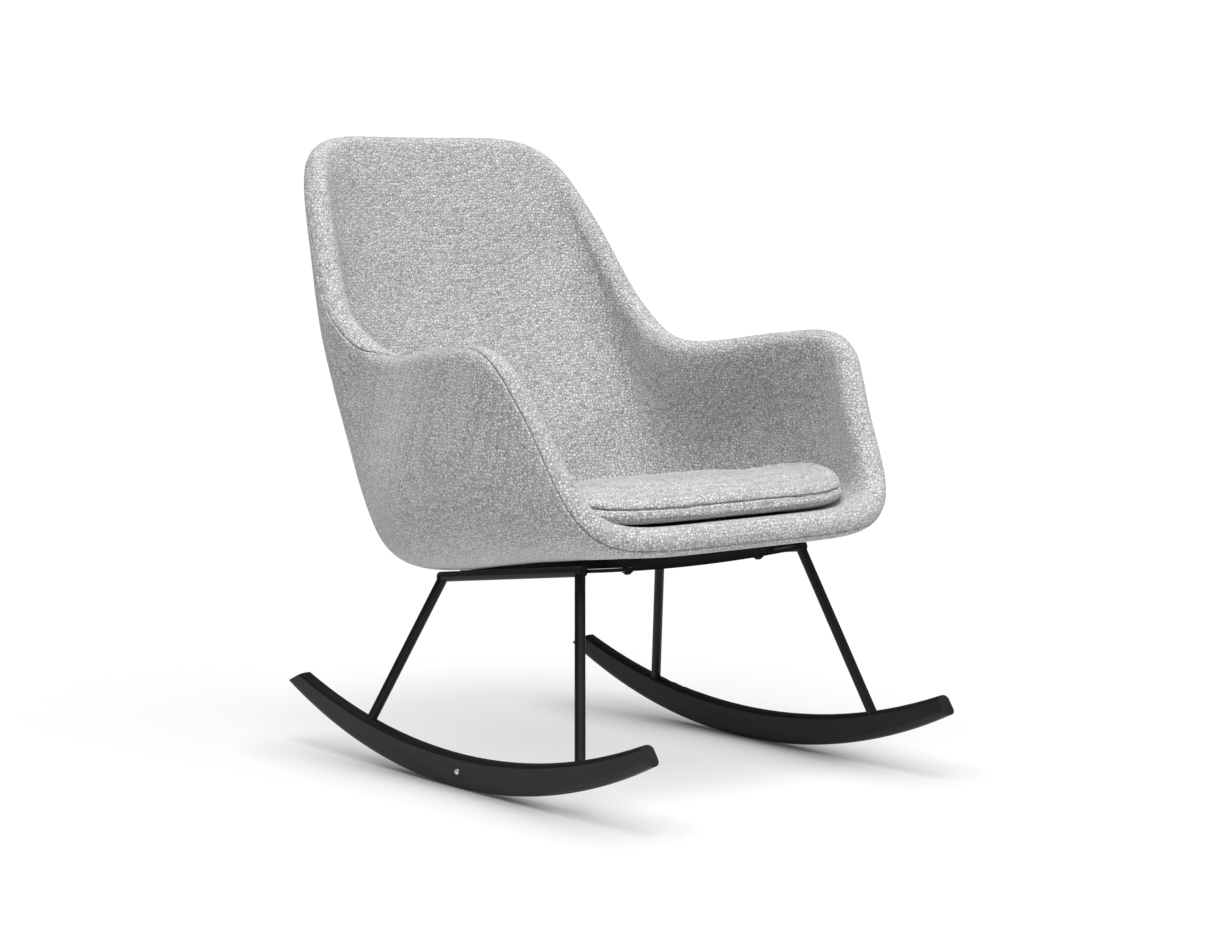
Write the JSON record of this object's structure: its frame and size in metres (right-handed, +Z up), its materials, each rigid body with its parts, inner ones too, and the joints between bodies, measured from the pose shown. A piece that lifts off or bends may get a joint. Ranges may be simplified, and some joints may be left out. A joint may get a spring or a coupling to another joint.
{
  "type": "rocking armchair",
  "caption": "Upholstered bucket armchair on a steel-rod frame with two curved wooden rockers and a loose seat pad.",
  "frame": {"origin": "on the floor under the middle of the chair's overall box", "axes": "+Z up; the front of the chair faces -Y; +X towards the sitter's left"},
  "size_m": [0.6724, 0.891, 0.8947],
  "materials": {
    "black_wood": "satin",
    "black_steel": "satin",
    "zinc_steel": "satin",
    "moulded_fibreboard": "matte",
    "padding": "matte",
    "grey_weave": "matte"
  },
  "bodies": {
    "chair": {"rocker_left": "black_wood", "rocker_right": "black_wood", "leg_sockets": "zinc_steel", "rocker_screws": "zinc_steel", "leg_front_left": "black_steel", "leg_front_right": "black_steel", "leg_rear_left": "black_steel", "leg_rear_right": "black_steel", "side_rail_left": "black_steel", "side_rail_right": "black_steel", "front_bar": "black_steel", "rear_bar": "black_steel", "base_pan": "black_steel", "spacers": "black_steel", "shell_screws": "black_steel", "screw_washers": "black_steel", "tee_nuts": "zinc_steel", "shell_core": "moulded_fibreboard", "outer_padding": "padding", "inner_padding": "padding", "outer_cover": "grey_weave", "inner_cover": "grey_weave"},
    "seat_pad": {"pad_foam": "padding", "pad_top_panel": "grey_weave", "pad_bottom_panel": "grey_weave"}
  },
  "joints": [
    {"name": "seat_pad_lift", "type": "slide", "parent": "chair", "child": "seat_pad", "axis": [0, -0.342, 0.9397], "range_m": [0, 0.6]}
  ]
}
